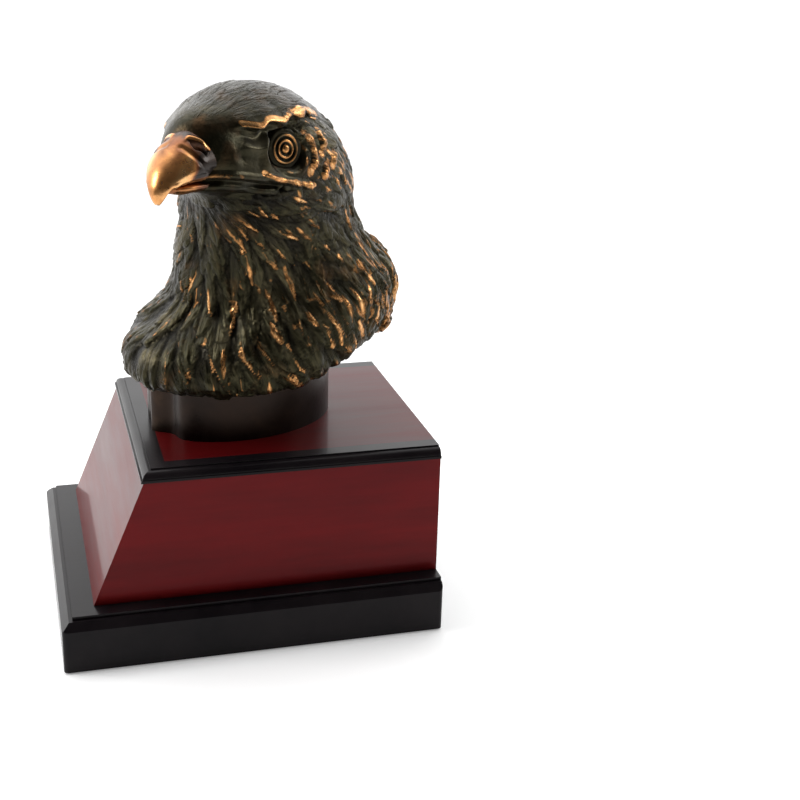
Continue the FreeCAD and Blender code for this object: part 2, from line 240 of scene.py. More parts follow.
def layFeathers(grid, sites):
    # shingled feathers, each with a raised tip, a quill groove and barbs; also gives each
    # point's polish and height, and how far down and across its feather it lies
    flat = grid.reshape(-1, 3)
    normals = gridNormals(grid).reshape(-1, 3)
    height = np.zeros(len(flat))
    rub = np.zeros(len(flat))
    down = flat[:, 2] * 0.5
    strand = np.zeros(len(flat))
    cell = 5.0                           # points are looked up by cells of this size, mm
    keyX, keyY = 1000003, 1009
    keys = np.floor(flat / cell).astype(int) @ np.array([keyX, keyY, 1])
    sorting = np.argsort(keys, kind="stable")
    found, starts = np.unique(keys[sorting], return_index=True)
    stops = np.append(starts[1:], len(keys))
    bins = {k: (a, b) for k, a, b in zip(found.tolist(), starts.tolist(), stops.tolist())}
    for root, along, normal, length, width, lift, worn, seed in sites:
        across = np.cross(normal, along)
        middle = root + along * length * 0.5
        low = np.floor((middle - length * 0.55 - width * 0.5) / cell).astype(int)
        high = np.floor((middle + length * 0.55 + width * 0.5) / cell).astype(int)
        spans = []
        for x in range(low[0], high[0] + 1):
            for y in range(low[1], high[1] + 1):
                for z in range(low[2], high[2] + 1):
                    key = x * keyX + y * keyY + z
                    if key in bins:
                        spans.append(sorting[bins[key][0]:bins[key][1]])
        if not spans:
            continue
        near = np.concatenate(spans)
        offset = flat[near] - root
        s = (offset @ along) / length
        t = offset @ across - seed[0] * 0.3 * width * s * s
        n = offset @ normal
        share = np.clip(s, 0, 1)
        outline = width * 0.5 * np.clip(0.45 + 0.6 * np.sin(math.pi * share ** 0.8), 0, 1)
        outline = outline * np.clip((1.0 - share) / vane["taper"], 0, 1) ** 0.7 + 1e-3
        q = np.abs(t) / outline
        inside = (s > -0.02) & (s < 1.0) & (q < 1.0)
        inside &= (np.abs(n) < width * 1.5) & (normals[near] @ normal > 0.1)
        if not inside.any():
            continue
        near, s, t, q = near[inside], s[inside], t[inside], q[inside]
        dome = np.sqrt(1.0 - q ** 2)
        groove = np.exp(-(t / (vane["grooveWidth"] * width)) ** 2) * smoothStep(0.1, 0.4, s)
        barb = np.sin((np.abs(t) * 0.8 + s * length * 0.5) * vane["barbWaves"] + seed[1] * 6)
        h = lift * (0.1 + 0.9 * smoothStep(0.0, 0.85, s)) * (0.42 + 0.58 * dome)
        h = h - vane["groove"] * lift * groove + vane["barb"] * lift * barb * dome
        height[near] = np.maximum(h, vane["under"] * height[near])
        down[near] = s * length + seed[0] * 40
        strand[near] = t + seed[1] * 40
        offside = t / (0.5 * width) - 0.45 * seed[1]
        streak = np.exp(-(offside / vane["streakWidth"]) ** 2)
        rim = vane["rim"] * np.exp(-((1 - q) / vane["rimWidth"]) ** 2)
        rim = rim * smoothStep(0.5, 0.8, s) * (seed[0] * t > 0)
        rub[near] = worn * smoothStep(0.3, 0.65, s) * np.clip(streak + rim, 0, 1)
    grid = grid + (normals * height[:, None]).reshape(grid.shape)
    layers = {"rub": rub, "height": height, "down": down, "strand": strand}
    return grid, {name: numbers.reshape(grid.shape[:2]) for name, numbers in layers.items()}


def featherSites(grid, rings, spacing, choose, sweep=0.0):
    # roots on rings round the body, staggered, lowest ring first so that each lies over
    # the last; choose gives each place its feather's length, width, lift and polish, or nothing
    normals = gridNormals(grid)
    rows = grid.shape[0]
    downwards = -np.gradient(grid, axis=0)
    sites = []
    for index, share in enumerate(rings):
        i = int(round(share * (rows - 1)))
        ring = grid[i]
        steps = np.linalg.norm(np.roll(ring, -1, axis=0) - ring, axis=1)
        travel = np.concatenate([[0], np.cumsum(steps)[:-1]])
        total = steps.sum()
        count = max(6, int(round(total / spacing(share))))
        for k in range(count):
            place = ((k + 0.5 * (index % 2) + rng.uniform(-0.35, 0.35)) % count) / count * total
            j = min(int(np.searchsorted(travel, place)), len(ring) - 1)
            ii = int(np.clip(i + rng.uniform(-0.012, 0.012) * rows, 1, rows - 2))
            feather = choose(grid[ii, j], share)
            swing = rng.normal(0, 0.2)
            sizes = rng.uniform(0.72, 1.32, 3)
            seed = rng.uniform(-1, 1, 2)
            wear = rng.uniform(0, 1) ** 0.9
            if feather is None:
                continue
            length, width, lift, worn = feather
            normal = normals[ii, j]
            along = unit(downwards[ii, j]) + np.array([sweep, 0.0, 0.0])
            along = unit(along - normal * (along @ normal))
            along = unit(along * math.cos(swing) + np.cross(normal, along) * math.sin(swing))
            sites.append((grid[ii, j], along, normal, length * sizes[0], width * sizes[1],
                          lift * sizes[2], worn * wear, seed))
    return sites


tuckDepth = 2.4           # how deep a piece slips in under its neighbour, mm


def tuckUnder(grid, piece):
    row = np.linspace(*piece["rows"], piece["along"])
    sink = tuckDepth * smoothStep(*piece["tuck"], row)
    return grid - gridNormals(grid) * sink[:, None, None]


print("tools ready")

# rows are rows of the eagle's body; rings are first and last share of the height, and count
plumage = {
    "rows": (0.0, 11.2), "along": 228, "around": 430, "tuck": (10.7, 11.2),
    "tuftLength": 34.0, "tuftWidth": 12.0, "tuftLift": 1.3,
    "tuftRings": (0.16, 0.98, 9), "tuftSpacing": 0.85,       # share of a tuft's width
    "featherLength": (24.0, 16.0), "featherWidth": (5.6, 3.9), "featherLift": (1.6, 1.0),
    "rings": (0.1, 0.99, 16), "spacing": (4.7, 3.3),         # at the skirt and at the neck
    "sweep": 0.9,                        # how far the feathers lean back
    "scallop": 2.2, "scallops": 23,      # the skirt's hanging tips
    "wearFront": (-26, -4), "wearSkirt": (86, 98), "wearBack": (30, 50),
    "jutBack": (38, 54), "jutSkirt": (84, 96),
}


def skirtEdge(grid):
    # the lowest feathers hang as rounded tips of uneven width
    rows, columns = grid.shape[:2]
    turn = np.arange(columns) * 2 * math.pi / columns
    wander = turn * plumage["scallops"] / 2 + 0.9 * np.sin(turn * 3 + 1) + 0.6 * np.sin(turn * 7)
    tips = np.abs(np.sin(wander)) ** 0.6 + 0.25 * np.sin(turn * 5)
    row = np.linspace(*plumage["rows"], rows)
    fade = smoothStep(0.2, 1.6, row) * (1 - smoothStep(2.0, 5.0, row))
    depth = plumage["scallop"] * (0.3 + 0.7 * smoothStep(-10, 30, grid[0, :, 0]))
    return grid - upward * (fade[:, None] * (depth * tips)[None])[..., None]


def neckWear(place):
    # the near and rear feathers are rubbed brightest, the throat stays dark
    x, z = place[0], place[2]
    bright = max(float(smoothStep(*plumage["wearFront"], x)),
                 float(1 - smoothStep(*plumage["wearSkirt"], z)))
    return 0.25 + 0.75 * bright * (1 - 0.35 * float(smoothStep(*plumage["wearBack"], x)))


def chooseTuft(place, share):
    wear = 0.5 * neckWear(place)
    return plumage["tuftLength"], plumage["tuftWidth"], plumage["tuftLift"], wear


def chooseFeather(place, share):
    length, width, lift = (low + (high - low) * share for low, high in (
        plumage["featherLength"], plumage["featherWidth"], plumage["featherLift"]))
    jut = 1.0 + 1.5 * float(smoothStep(*plumage["jutBack"], place[0]))
    jut = jut + 0.25 * float(1 - smoothStep(*plumage["jutSkirt"], place[2]))
    return length, width, lift * jut, neckWear(place)


def makePlumage():
    grid = skirtEdge(bodyGrid(*plumage["rows"], plumage["along"], plumage["around"]))
    tuftGap = plumage["tuftWidth"] * plumage["tuftSpacing"]
    tufts = featherSites(grid, np.linspace(*plumage["tuftRings"]), lambda share: tuftGap,
                         chooseTuft, plumage["sweep"])
    grid, tuft = layFeathers(grid, tufts)
    wide, narrow = plumage["spacing"]
    feathers = featherSites(grid, np.linspace(*plumage["rings"]),
                            lambda share: wide - (wide - narrow) * share,
                            chooseFeather, plumage["sweep"])
    grid, laid = layFeathers(grid, feathers)
    height = laid.pop("height")
    proud = smoothStep(1.0, 2.2, height) * smoothStep(-30, 0, grid[..., 0])
    laid["rub"] = np.clip(np.maximum(laid["rub"], 0.5 * tuft["rub"]) + 0.3 * proud, 0, 1)
    laid["relief"] = smoothStep(0.1, 1.5, height + 0.4 * tuft["height"])
    print("plumage:", len(tufts), "tufts and", len(feathers), "feathers")
    return tubePiece("eagle_plumage", tuckUnder(grid, plumage), laid)


eye = {
    "place": (17.0, 16.9, 162.8),        # forward, out to each side, and up
    "axis": (0.42, 0.90, 0.10),
    # radius and height from the pupil's middle outwards: pupil, iris ring, lid ring
    "profile": [(0.0, 1.3), (0.8, 1.2), (1.3, 0.8), (1.6, 0.3), (2.0, 0.55), (2.5, 0.9),
                (2.9, 0.8), (3.2, 0.2), (3.5, 0.15), (4.0, 0.75), (4.5, 0.8), (5.0, 0.4),
                (5.6, 0.35), (6.2, 0.1), (7.2, -1.4)],
    "along": 70, "around": 96, "wear": 0.62,
}

# feathers are length, width, lift and polish
head = {
    "rows": (9.7, 19.0), "along": 236, "around": 416, "tuck": (10.3, 9.8),
    "rings": (0.06, 0.86, 26), "spacing": 4.1,
    "crown": (17.0, 3.2, 0.35, 0.12), "throat": (17.0, 3.6, 0.8, 0.25),
    "cheek": (8.5, 4.6, 1.0, 1.0), "nape": (12.0, 4.8, 1.15, 0.8),
    "browHeight": (3.0, 1.6), "browLower": 3.0,      # the far brow is weaker and sits lower
    "socket": 16.0, "socketSlope": 0.42, "socketRim": (4.8, 8.2),
}

# paths on the head's side view, as (forward, up)
browPlaces = [(42, 171.8), (35, 172.6), (30, 171.8), (26, 173.4), (20, 172.4), (15.5, 174.0),
              (10, 173.0), (6, 173.8), (1, 172.4), (-4, 171.0)]
templePlaces = [(41, 163.5), (34, 162.5), (27, 161)]
mouthPlaces = [(52, 156.6), (44, 156.2), (36, 154.8), (29, 153.2), (22, 151.8)]
gapePlaces = [(22, 151.6), (20.5, 150), (22, 148.4), (28, 149.2), (34, 150.6)]
lidPlaces = [(24.5, 165), (24.5, 160), (19.5, 156.2), (13.5, 156.6), (10.6, 160.2), (11, 165)]
upperLidPlaces = [(27, 169), (20, 170.5), (12, 170.5), (6, 169.5)]
lidFoldPlaces = [(30, 157.5), (25.5, 155.2), (21, 153.8), (16, 152.6), (11, 151.2), (6, 150.6)]
throatPlaces = [(36, 147), (26, 144.5), (14, 140.5), (0, 136)]
cheekFolds = [
    [(10.5, 155.0), (7.6, 158.5), (7.4, 163.0), (9.0, 166.5)],
    [(4.6, 151.8), (3.4, 154.4), (1.4, 156.8)],
    [(3.6, 159.8), (1.6, 163.2), (1.8, 166.8)],
    [(-1.5, 155.5), (-4.2, 159.5)],
]
headFolds = [
    # path, how far it is lowered, width, height, fading ends, waves
    (mouthPlaces, 0.0, 1.3, -1.5, 0.05, 0),
    (mouthPlaces, -2.2, 1.8, 0.9, 0.15, 0),
    (mouthPlaces, 1.9, 1.6, 0.8, 0.2, 0),
    (gapePlaces, 0.0, 1.2, -1.3, 0.08, 0),
    (lidPlaces, 0.0, 1.3, 0.9, 0.15, 3),
    (lidFoldPlaces, 0.0, 1.7, 1.1, 0.15, 0),
    *[(fold, 0.0, 2.0, 1.2, 0.3, 0) for fold in cheekFolds],
    (upperLidPlaces, 0.0, 1.6, 0.9, 0.2, 0),
    *[(throatPlaces, lower, 2.6, 1.1, 0.3, 0) for lower in (0.0, 5.0, 10.0)],
]
headEdges = [
    # path, how far it is lowered, width, how much polishing has rubbed it
    (mouthPlaces[:3], -2.0, 1.2, 0.3),
    (lidPlaces[2:], 0.0, 0.8, 0.4),
    (lidFoldPlaces, 0.0, 1.0, 0.8),
    *[(fold, 0.0, 1.6, 0.8) for fold in cheekFolds],
]


def sinkEye(grid, side):
    # a flat-bottomed socket that faces a little forward
    forward, across, up = headPlace(grid)
    ahead = forward - eye["place"][0]
    radius = np.hypot(np.where(ahead > 0, 0.7, 1.0) * ahead, up - eye["place"][2])
    floor = head["socket"] - head["socketSlope"] * ahead
    excess = np.maximum(across * side - floor, 0) * (across * side > 4)
    weight = 1 - smoothStep(*head["socketRim"], radius)
    return grid - headLeft * (side * excess * weight)[..., None]


def shapeHead(grid):
    for side, ledge, lower in zip((1, -1), head["browHeight"], (0.0, head["browLower"])):
        outwards = headLeft * side
        overEye = outwards * 0.85 + headForward * 0.2 - upward * 0.15
        grid = sinkEye(grid, side)
        grid = press(grid, browPlaces, side, 2.2, ledge, 0.2, above=8.0, way=overEye, lower=lower)
        grid = press(grid, browPlaces[:8], side, 3.4, -2.6, 0.25, way=outwards, lower=lower + 4.0)
        grid = press(grid, templePlaces, side, 5.5, -1.4, 0.3, way=outwards)
        for places, drop, width, height, ends, waves in headFolds:
            grid = press(grid, places, side, width, height, ends, waves=waves, lower=drop)
    return grid


def chooseHeadFeather(place, share):
    forward, side, up = (float(v) for v in headPlace(place))
    fromEye = math.dist((forward, abs(side), up), eye["place"])
    if forward > 44 or fromEye < 8.5:
        return None
    if up > 174 and forward > -8:
        return head["crown"]
    if forward > 20 and up > 150:
        return None
    if up < 150 and forward > 12:
        return head["throat"]
    if forward > 2:
        return head["cheek"]
    return head["nape"]


def headRub(grid):
    # polished brow edge, lids, lips and cheek folds
    rub = np.zeros(grid.shape[:2])
    for side, lower in ((1, 0.0), (-1, head["browLower"])):
        for places, drop, width, amount in [(browPlaces[1:], lower, 1.0, 1.0)] + headEdges:
            distance, offset, share, sided = besideHead(grid, places, side, drop)
            ripple = 0.8 + 0.2 * np.sin(share * 23 + 1)
            line = 1 - smoothStep(0.3, 1.4, distance / width)
            rub = np.maximum(rub, sided * amount * ripple * line)
    return rub


def makeHead():
    grid = shapeHead(bodyGrid(*head["rows"], head["along"], head["around"]))
    rubbed = headRub(grid)
    face = smoothStep(-2, 14, headPlace(grid)[0])
    sites = featherSites(grid, np.linspace(*head["rings"]), lambda share: head["spacing"],
                         chooseHeadFeather)
    grid, laid = layFeathers(grid, sites)
    laid["rub"] = np.clip(np.maximum(laid["rub"], rubbed), 0, 1)
    laid["relief"] = np.maximum(smoothStep(-0.1, 0.9, laid.pop("height")), 0.5 * face)
    print("head:", len(sites), "feathers")
    return tubePiece("eagle_head", tuckUnder(grid, head), laid)


beak = {
    "rows": [
        # lower point forward, up; ridge forward, up; half width
        (34.0, 153.0, 30.0, 172.0, 10.4),
        (41.0, 155.0, 38.0, 172.2, 9.7),
        (47.0, 156.2, 45.0, 171.2, 9.0),
        (51.5, 156.8, 50.5, 169.4, 8.4),
        (55.0, 157.0, 55.5, 166.0, 7.2),
        (58.2, 156.6, 59.8, 161.8, 5.3),
        (60.4, 155.2, 62.3, 158.0, 3.6),
        (61.2, 153.6, 63.2, 155.4, 2.5),
        (61.7, 152.4, 63.2, 153.5, 1.6),
        (62.0, 151.6, 62.8, 152.2, 0.8),
    ],
    "along": 220, "around": 260, "flat": -1.0,
    "nostril": [(47.6, 165.0), (48.8, 167.0), (50.8, 167.8)],
    "nostrilRim": [(46.4, 166.6), (47.4, 168.8), (50, 169.8), (53, 168.8)],
    "lip": [(60.5, 156.4), (57, 157.6), (52, 158.2), (46, 158.2)],
    "cere": [(53.5, 169), (52.5, 165), (50, 161.5), (44, 159.6)],
    "folds": [
        # path, width, height, fading ends
        ("nostril", 1.5, -1.9, 0.15),
        ("nostrilRim", 1.2, 0.6, 0.25),
        ("lip", 1.5, 0.7, 0.15),
        ("cere", 1.4, -0.35, 0.1),
    ],
}

jaw = {
    "rows": [
        (32.0, 149.0, 34.0, 156.0, 8.5),
        (42.0, 151.8, 43.0, 157.2, 8.0),
        (48.0, 152.8, 48.5, 157.2, 6.8),
        (52.5, 153.0, 53.0, 157.0, 5.4),
        (56.5, 154.0, 56.8, 156.4, 3.2),
    ],
    "along": 90, "around": 160, "flat": 0.6,
}


def beakGrid(half):
    # an arched section: a narrow ridge above and a wide cutting edge below
    p = throughPoints(half["rows"], half["along"])
    low = headPoint(p[:, 0], 0 * p[:, 0], p[:, 1])
    high = headPoint(p[:, 2], 0 * p[:, 0], p[:, 3])
    angle = np.arange(half["around"]) * 2 * math.pi / half["around"]
    middle = (low + high) / 2
    reach = (high - low) / 2
    c, s = np.cos(angle), np.sin(angle)
    wide = s * (1.0 - half["flat"] * 0.28 * (c + 0.15))
    return (middle[:, None] + reach[:, None] * -c[None, :, None]
            + headLeft * (wide[None, :] * p[:, 4:5])[..., None])


def makeBeak():
    grid = beakGrid(beak)
    for side in (1, -1):
        for name, width, height, ends in beak["folds"]:
            grid = press(grid, beak[name], side, width, height, ends)
    forward, across, up = headPlace(grid)
    across = np.abs(across)
    # bright past the cere, darker along the ridge, bright again at the cutting edge
    polish = smoothStep(50.0, 53.5, forward - 0.3 * across + 0.28 * (up - 160))
    polish = np.maximum(0.92 * polish, 0.34 * (1 - smoothStep(4, 8, across)))
    ridge = (1 - smoothStep(2.5, 6.5, across)) * smoothStep(150, 166, up)
    polish = polish * (1 - 0.45 * ridge)
    polish = np.maximum(polish, 0.7 * (1 - smoothStep(157.8, 159.2, up)))
    for side in (1, -1):
        distance, offset, share, sided = besideHead(grid, beak["nostrilRim"], side)
        polish = np.maximum(polish, 0.85 * sided * (1 - smoothStep(0.4, 1.0, distance)))
    return tubePiece("eagle_upper_beak", grid, {"polish": polish})


def makeJaw():
    grid = beakGrid(jaw)
    polish = 0.5 * smoothStep(42, 52, headPlace(grid)[0])
    return tubePiece("eagle_lower_beak", grid, {"polish": polish})


def makeEye(name, side):
    # a pupil, an iris ring and a lid ring, turned on one axis
    profile = throughPoints(eye["profile"], eye["along"])
    radius, height = profile[:, :1, None], profile[:, 1:2]
    forward, out, up = eye["place"]
    axis = unit(headForward * eye["axis"][0] + headLeft * (side * eye["axis"][1])
                + upward * eye["axis"][2])
    first = unit(np.cross(upward, axis))
    second = np.cross(axis, first)
    angle = np.arange(eye["around"]) * 2 * math.pi / eye["around"]
    ring = first * np.cos(angle)[:, None] + second * np.sin(angle)[:, None]
    centre = headPoint(forward, side * out, up)
    grid = centre + ring[None] * np.maximum(radius, 0.02) + axis * height[..., None]
    raised = (smoothStep(0.55, 0.95, height) * np.ones(eye["around"]))[::-1]
    return tubePiece(name, grid[::-1], {"rub": eye["wear"] * raised, "relief": 0.25 + 0.75 * raised})


core = {
    "centre": (3.0, 0.0), "turn": 20.0,
    "halfLength": 31.6, "halfWidth": 23.8, "height": 17.0,
    "shift": 5.0,                        # how far it leans back as it rises
    "valleyAngle": 164.0, "valleySpread": 11.0, "valleyDepth": 0.10, "waist": 0.02,
    "along": 60, "around": 220,
}


def makeCore():
    # the smooth lobed pillar that shows under the feather skirt, from the collar's top up
    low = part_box("foot_collar")[1][2] / mm
    angle = np.arange(core["around"]) * 2 * math.pi / core["around"] - math.pi
    valley = (np.abs(np.degrees(angle)) - core["valleyAngle"]) / core["valleySpread"]
    pinch = 1 - core["valleyDepth"] * np.exp(-valley ** 2)
    rise = np.linspace(0, 1, core["along"])[:, None]
    waist = 1 - core["waist"] * np.sin(math.pi * rise)
    along = core["halfLength"] * waist * (pinch * np.cos(angle))
    across = core["halfWidth"] * waist * (pinch * np.sin(angle))
    turn = math.radians(core["turn"])
    lean = core["shift"] * smoothStep(0, 1, rise)
    x = core["centre"][0] + lean + along * math.cos(turn) - across * math.sin(turn)
    y = core["centre"][1] + along * math.sin(turn) + across * math.cos(turn)
    z = low + core["height"] * rise + 0 * angle
    return tubePiece("eagle_core", np.stack([x, y, z], -1), {"rub": 0 * x})


plumagePiece = makePlumage()
headPiece = makeHead()
upperBeak = makeBeak()
lowerBeak = makeJaw()
leftEye = makeEye("eagle_eye_left", 1)
rightEye = makeEye("eagle_eye_right", -1)
corePiece = makeCore()
print("eagle built")


def newFinish(name, colour, metal, rough, **sockets):
    material = bpy.data.materials.new(name)
    material.use_nodes = True
    shader = material.node_tree.nodes["Principled BSDF"]
    shader.inputs["Base Color"].default_value = (*colour, 1)
    shader.inputs["Metallic"].default_value = metal
    shader.inputs["Roughness"].default_value = rough
    for socket, value in sockets.items():
        shader.inputs[socket.replace("_", " ")].default_value = value
    return material, shader


def addNode(material, kind, **inputs):
    node = material.node_tree.nodes.new(kind)
    for key, value in inputs.items():
        if key in node.inputs:
            node.inputs[key].default_value = value
        else:
            setattr(node, key, value)
    return node


def wire(material, output, socket):
    material.node_tree.links.new(output, socket)


def stretched(material, scales):
    # object coordinates, stretched so that grain runs along the axis with the small scale
    place = addNode(material, "ShaderNodeTexCoord").outputs["Object"]
    mapping = addNode(material, "ShaderNodeMapping", Scale=scales)
    wire(material, place, mapping.inputs["Vector"])
    return mapping.outputs["Vector"]


def noiseAt(material, vector, scale, detail=4.0, rough=0.55, warp=0.0):
    noise = addNode(material, "ShaderNodeTexNoise", Scale=scale, Detail=detail,
                    Roughness=rough, Distortion=warp)
    wire(material, vector, noise.inputs["Vector"])
    return noise.outputs["Fac"]


def rampOf(material, value, stops):
    ramp = addNode(material, "ShaderNodeValToRGB")
    while len(ramp.color_ramp.elements) < len(stops):
        ramp.color_ramp.elements.new(0.5)
    for element, (place, colour) in zip(ramp.color_ramp.elements, stops):
        element.position = place
        element.color = (*colour, 1)
    wire(material, value, ramp.inputs["Fac"])
    return ramp.outputs["Color"]


def blend(material, share, first, second, how="MIX"):
    mix = addNode(material, "ShaderNodeMix", data_type="RGBA", blend_type=how)
    for socket, value in zip((0, 6, 7), (share, first, second)):
        if isinstance(value, (int, float)):
            mix.inputs[socket].default_value = value
        elif isinstance(value, tuple):
            mix.inputs[socket].default_value = (*value, 1)
        else:
            wire(material, value, mix.inputs[socket])
    return mix.outputs[2]


def mathOf(material, how, first, second):
    node = addNode(material, "ShaderNodeMath", operation=how)
    for socket, value in zip(node.inputs, (first, second)):
        if isinstance(value, (int, float)):
            socket.default_value = value
        else:
            wire(material, value, socket)
    return node.outputs[0]


def spread(material, value, low, high, newLow, newHigh):
    # values from low to high become newLow to newHigh, and no further
    node = addNode(material, "ShaderNodeMapRange", **{"From Min": low, "From Max": high,
                                                      "To Min": newLow, "To Max": newHigh})
    wire(material, value, node.inputs["Value"])
    return node.outputs["Result"]


def bumpFrom(material, shader, height, strength, distance):
    node = addNode(material, "ShaderNodeBump", Strength=strength, Distance=distance)
    wire(material, height, node.inputs["Height"])
    wire(material, node.outputs["Normal"], shader.inputs["Normal"])


# colours and noises of the eagle; a noise is its scale, detail, roughness and warp
bronze = {
    "green": (0.023, 0.021, 0.009), "brown": (0.072, 0.038, 0.014), "grey": (0.086, 0.071, 0.038),
    "deep": (0.005, 0.004, 0.003), "copper": (0.60, 0.27, 0.09), "gold": (0.88, 0.52, 0.23),
    "broad": (60.0, 3.0), "cloudy": (260.0, 5.0, 0.6, 0.4), "fine": (900.0, 3.0),
    "strands": (1.1, 3.0, 0.6), "strandStretch": 0.14,
    "bump": (0.5, 0.0007),
}


def antiqueBronze():
    material, shader = newFinish("antique bronze", bronze["green"], 0.9, 0.35)
    place = stretched(material, (1, 1, 1))
    broad, cloudy, fine = (noiseAt(material, place, *bronze[key])
                           for key in ("broad", "cloudy", "fine"))
    rub, relief, down, strand = (
        addNode(material, "ShaderNodeAttribute", attribute_name=name).outputs["Fac"]
        for name in ("rub", "relief", "down", "strand"))
    combed = addNode(material, "ShaderNodeCombineXYZ")
    wire(material, strand, combed.inputs["X"])
    lengthwise = mathOf(material, "MULTIPLY", down, bronze["strandStretch"])
    wire(material, lengthwise, combed.inputs["Y"])
    strands = noiseAt(material, combed.outputs["Vector"], *bronze["strands"])
    patina = rampOf(material, broad, [(0.32, bronze["brown"]), (0.47, bronze["green"]),
                                      (0.7, bronze["grey"])])
    for value, low, high, least, most, tone in (
            (cloudy, 0.38, 0.62, 0.0, 0.75, "green"), (strands, 0.52, 0.72, 0.0, 0.4, "grey"),
            (strands, 0.48, 0.3, 0.0, 0.7, "deep"), (relief, 0.0, 0.8, 0.9, 0.0, "deep")):
        share = spread(material, value, low, high, least, most)
        patina = blend(material, share, patina, bronze[tone])
    # where the patina is rubbed through
    worn = mathOf(material, "MULTIPLY", rub, spread(material, strands, 0.35, 0.62, 0.45, 1.25))
    worn = mathOf(material, "ADD", worn, spread(material, cloudy, 0.3, 0.7, -0.22, 0.22))
    mask = spread(material, worn, 0.26, 0.62, 0.0, 1.0)
    metal = blend(material, spread(material, worn, 0.55, 1.05, 0.0, 1.0),
                  bronze["copper"], bronze["gold"])
    metal = blend(material, spread(material, fine, 0.35, 0.7, 0.0, 0.4), metal, bronze["brown"])
    wire(material, blend(material, mask, patina, metal), shader.inputs["Base Color"])
    wire(material, spread(material, mask, 0.0, 1.0, 0.88, 1.0), shader.inputs["Metallic"])
    gloss = mathOf(material, "ADD", spread(material, mask, 0.0, 1.0, 0.33, 0.26),
                   spread(material, fine, 0.3, 0.7, -0.05, 0.08))
    wire(material, gloss, shader.inputs["Roughness"])
    grain = mathOf(material, "ADD", mathOf(material, "MULTIPLY", strands, 1.6),
                   mathOf(material, "MULTIPLY", cloudy, 0.5))
    grain = mathOf(material, "ADD", grain, mathOf(material, "MULTIPLY", fine, 0.25))
    bumpFrom(material, shader, grain, *bronze["bump"])
    return material


polished = {
    "cloudy": (130.0, 4.0, 0.6, 0.3), "fine": (700.0, 3.0),
    "tones": [(0.05, (0.018, 0.012, 0.009)), (0.4, (0.17, 0.06, 0.022)),
              (0.72, bronze["copper"]), (1.0, bronze["gold"])],
    "bump": (0.12, 0.0003),
}


def beakBronze():
    material, shader = newFinish("polished beak", bronze["gold"], 0.95, 0.25,
                                 Coat_Weight=0.2, Coat_Roughness=0.15)
    place = stretched(material, (1, 1, 1))
    cloudy = noiseAt(material, place, *polished["cloudy"])
    fine = noiseAt(material, place, *polished["fine"])
    polish = addNode(material, "ShaderNodeAttribute", attribute_name="polish").outputs["Fac"]
    shade = mathOf(material, "ADD", polish, spread(material, cloudy, 0.3, 0.7, -0.22, 0.12))
    wire(material, rampOf(material, shade, polished["tones"]), shader.inputs["Base Color"])
    gloss = mathOf(material, "ADD", spread(material, shade, 0.0, 1.0, 0.36, 0.26),
                   spread(material, fine, 0.3, 0.7, -0.03, 0.05))
    wire(material, gloss, shader.inputs["Roughness"])
    bumpFrom(material, shader, fine, *polished["bump"])
    return material


mahogany = {
    "colour": (0.16, 0.006, 0.007), "rough": 0.35,
    "sockets": {"Coat_Weight": 0.55, "Coat_Roughness": 0.07, "Coat_IOR": 1.15,
                "Specular_IOR_Level": 0.08},
    "figure": (9.0, 5.0, 0.6, 1.2), "pores": (90.0, 4.0, 0.7),
    "figureTones": [(0.25, (0.10, 0.003, 0.005)), (0.5, (0.19, 0.006, 0.007)),
                    (0.75, (0.29, 0.016, 0.010))],
    "poreTones": [(0.35, (0.45, 0.45, 0.45)), (0.6, (1.0, 1.0, 1.0))], "poreShare": 0.5,
    "gloss": (0.32, 0.44), "bump": (0.05, 0.0004),
}


def mahoganyLacquer(name, scales, shade):
    # the grain runs along the axis with the small scale; shade is painted shade that darkens the
    # whole board, making darker copies of one mahogany
    material, shader = newFinish(name, mahogany["colour"], 0.0, mahogany["rough"],
                                 **mahogany["sockets"])
    place = stretched(material, scales)
    figure = noiseAt(material, place, *mahogany["figure"])
    pores = noiseAt(material, place, *mahogany["pores"])
    colour = rampOf(material, figure, mahogany["figureTones"])
    streak = rampOf(material, pores, mahogany["poreTones"])
    colour = blend(material, mahogany["poreShare"], colour, streak, "MULTIPLY")
    colour = blend(material, 1.0, colour, (shade, shade, shade), "MULTIPLY")
    wire(material, colour, shader.inputs["Base Color"])
    wire(material, spread(material, pores, 0.3, 0.7, *mahogany["gloss"]), shader.inputs["Roughness"])
    bumpFrom(material, shader, pores, *mahogany["bump"])
    return material


# plain finishes; tones are places on the noise and their colours, gloss is the roughness
# from low to high noise, and a finer noise makes the bumps where one is given
darkBronze = {
    "name": "dark bronze", "colour": (0.02, 0.014, 0.011), "metal": 0.85, "rough": 0.3,
    "noise": (50.0, 4.0), "fine": (700.0, 3.0), "gloss": (0.24, 0.42), "bump": (0.12, 0.0004),
    "tones": [(0.3, (0.009, 0.006, 0.005)), (0.6, (0.022, 0.013, 0.009)), (0.8, (0.05, 0.03, 0.018))],
}
blackLacquer = {
    "name": "black lacquer", "colour": (0.006, 0.005, 0.006), "metal": 0.0, "rough": 0.35,
    "sockets": {"Coat_Weight": 0.55, "Coat_Roughness": 0.12, "Coat_IOR": 1.15,
                "Specular_IOR_Level": 0.08},
    "noise": (40.0, 4.0), "fine": (600.0, 3.0), "fineStretch": (0.1, 1, 1),
    "gloss": (0.28, 0.40), "bump": (0.05, 0.0003),
    "tones": [(0.3, (0.004, 0.003, 0.004)), (0.7, (0.012, 0.009, 0.010))],
}
feltCloth = {
    "name": "felt", "colour": (0.012, 0.012, 0.013), "metal": 0.0, "rough": 0.95,
    "sockets": {"Sheen_Weight": 0.4},
    "noise": (1500.0, 5.0, 0.7, 0.8), "gloss": (0.85, 1.0), "bump": (0.5, 0.0006),
    "tones": [(0.3, (0.006, 0.006, 0.007)), (0.7, (0.03, 0.03, 0.032))],
}
